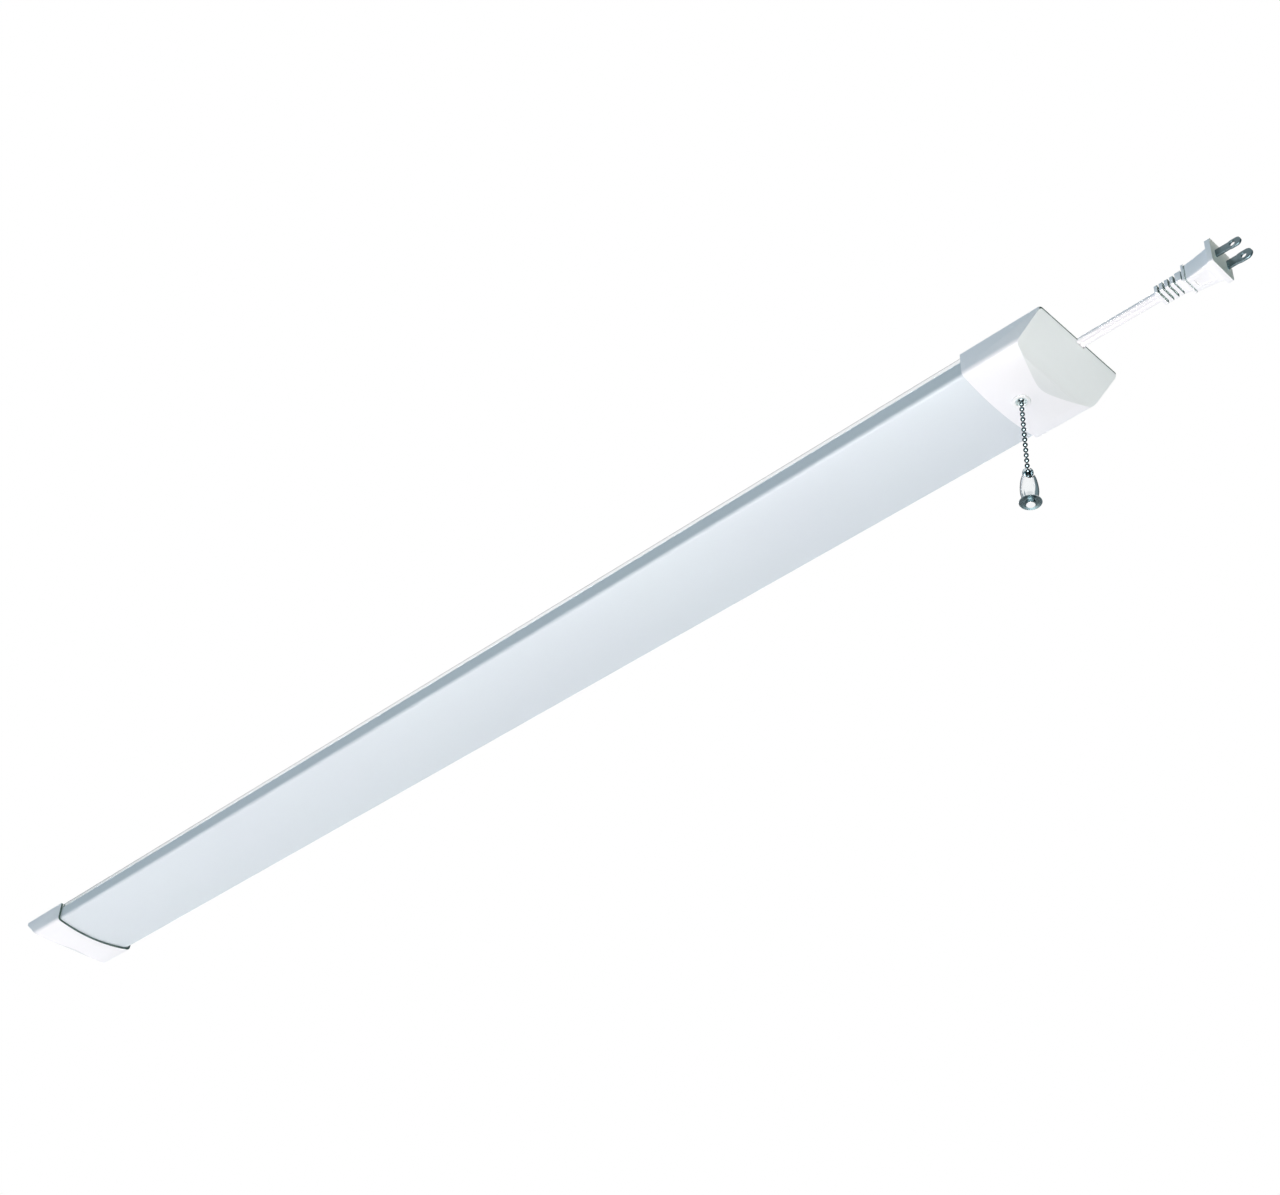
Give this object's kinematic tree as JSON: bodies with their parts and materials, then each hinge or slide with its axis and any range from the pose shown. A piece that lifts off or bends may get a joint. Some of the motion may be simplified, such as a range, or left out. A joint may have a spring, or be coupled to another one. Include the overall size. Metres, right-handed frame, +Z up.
{
  "type": "hanging shop light",
  "caption": "Slim white hanging shop light with a wrap-round diffuser, raked end caps, a ball chain pull switch with a bell pull, and a short flat cord with a two blade plug.",
  "frame": {"origin": "centre of the flat back face that lies against the ceiling", "axes": "+X along the light towards the switch, chain and cord end; +Z up through the back face; the diffuser faces -Z"},
  "size_m": [1.3386, 0.082, 0.1214],
  "materials": {
    "sheet_white": "smooth white enamel",
    "diffuser_white": "frosted white",
    "cap_white": "fine satin",
    "tray_metal": "mill finish",
    "screw_steel": "zinc plated",
    "board_white": "solder mask",
    "led_yellow": "phosphor gel",
    "connector_white": "moulded",
    "insulation_red": "satin",
    "insulation_black": "satin",
    "insulation_white": "satin",
    "tray_film": "vulcanised sheet",
    "board_green": "solder mask",
    "ferrite": "ground ferrite",
    "capacitor_blue": "shrink sleeve",
    "choke_copper": "enamelled winding",
    "terminal_green": "moulded",
    "clamp_grey": "moulded",
    "case_brown": "phenolic",
    "cover_black": "fibre sheet",
    "contact_brass": "stamped",
    "ratchet_red": "moulded",
    "collar_white": "moulded",
    "bushing_nickel": "nickel plated",
    "chain_nickel": "nickel plated",
    "bell_nickel": "polished nickel",
    "cord_white": "soft vinyl",
    "plug_white": "moulded vinyl",
    "blade_metal": "nickel plated brass"
  },
  "bodies": {
    "fixture": {"housing_pan": "sheet_white", "diffuser_lens": "diffuser_white", "switch_end_cap": "cap_white", "plain_end_cap": "cap_white", "end_cap_screws": "screw_steel", "gear_tray": "tray_metal", "tray_posts": "screw_steel", "tray_screws": "screw_steel", "led_board_near": "board_white", "led_board_far": "board_white", "led_chips_near": "led_yellow", "led_chips_far": "led_yellow", "led_board_screws": "screw_steel", "led_connector": "connector_white", "led_leads": "insulation_red", "driver_tray": "tray_film", "driver_board": "board_green", "driver_transformer": "ferrite", "driver_capacitors": "capacitor_blue", "driver_choke": "choke_copper", "driver_terminals": "terminal_green", "cord_clamp": "clamp_grey", "cord_clamp_screws": "screw_steel", "line_wire": "insulation_black", "neutral_wire": "insulation_white", "switched_wire": "insulation_black", "switch_case": "case_brown", "switch_cover": "cover_black", "switch_contacts": "contact_brass", "switch_pin": "screw_steel", "switch_spring": "screw_steel", "switch_bushing": "bushing_nickel", "chain_collar": "collar_white", "power_cord": "cord_white", "plug_body": "plug_white", "plug_blades": "blade_metal"},
    "pull_head": {"chain_head": "chain_nickel"},
    "link_1": {"chain_link_1": "chain_nickel"},
    "link_2": {"chain_link_2": "chain_nickel"},
    "link_3": {"chain_link_3": "chain_nickel"},
    "link_4": {"chain_link_4": "chain_nickel"},
    "link_5": {"chain_link_5": "chain_nickel"},
    "link_6": {"chain_link_6": "chain_nickel"},
    "link_7": {"chain_link_7": "chain_nickel"},
    "link_8": {"chain_link_8": "chain_nickel"},
    "end_beads": {"bell_end_beads": "chain_nickel"},
    "bell": {"bell_connector": "bell_nickel", "bell_body": "bell_nickel"},
    "arm": {"switch_arm": "contact_brass"},
    "ratchet": {"switch_rotor": "ratchet_red"}
  },
  "joints": [
    {"name": "pull_slide", "type": "slide", "parent": "fixture", "child": "pull_head", "axis": [0, 0, -1], "range_m": [0, 0.0075], "stiffness_N_per_m": 800, "springref_m": -0.003},
    {"name": "link_1_bend", "type": "hinge", "parent": "pull_head", "child": "link_1", "pos_m": [0.5622, 0, -0.02513], "axis": [1, 0, 0], "range_deg": [-16, 16]},
    {"name": "link_2_bend", "type": "hinge", "parent": "link_1", "child": "link_2", "pos_m": [0.5622, 0, -0.02955], "axis": [0, 1, 0], "range_deg": [-16, 16]},
    {"name": "link_3_bend", "type": "hinge", "parent": "link_2", "child": "link_3", "pos_m": [0.5622, 0, -0.03397], "axis": [1, 0, 0], "range_deg": [-16, 16]},
    {"name": "link_4_bend", "type": "hinge", "parent": "link_3", "child": "link_4", "pos_m": [0.5622, 0, -0.03839], "axis": [0, 1, 0], "range_deg": [-16, 16]},
    {"name": "link_5_bend", "type": "hinge", "parent": "link_4", "child": "link_5", "pos_m": [0.5622, 0, -0.04281], "axis": [1, 0, 0], "range_deg": [-16, 16]},
    {"name": "link_6_bend", "type": "hinge", "parent": "link_5", "child": "link_6", "pos_m": [0.5622, 0, -0.05165], "axis": [0, 1, 0], "range_deg": [-16, 16]},
    {"name": "link_7_bend", "type": "hinge", "parent": "link_6", "child": "link_7", "pos_m": [0.5622, 0, -0.06049], "axis": [1, 0, 0], "range_deg": [-16, 16]},
    {"name": "link_8_bend", "type": "hinge", "parent": "link_7", "child": "link_8", "pos_m": [0.5622, 0, -0.06933], "axis": [0, 1, 0], "range_deg": [-16, 16]},
    {"name": "bell_swing", "type": "hinge", "parent": "link_8", "child": "end_beads", "pos_m": [0.5622, 0, -0.08259], "axis": [1, 0, 0], "range_deg": [-16, 16]},
    {"name": "bell_spin", "type": "hinge", "parent": "end_beads", "child": "bell", "pos_m": [0.5622, 0, -0.08259], "axis": [0, 0, 1], "continuous": true},
    {"name": "arm_turn", "type": "hinge", "parent": "fixture", "child": "arm", "pos_m": [0.5687, 0, -0.0135], "axis": [0, 1, 0], "range_deg": [-60, 0]},
    {"name": "ratchet_turn", "type": "hinge", "parent": "fixture", "child": "ratchet", "pos_m": [0.5687, 0.0041, -0.0135], "axis": [0, 1, 0], "continuous": true}
  ],
  "couplings": [
    {"joint": "arm_turn", "follows": "pull_slide", "rad_per_m": -139.5}
  ]
}
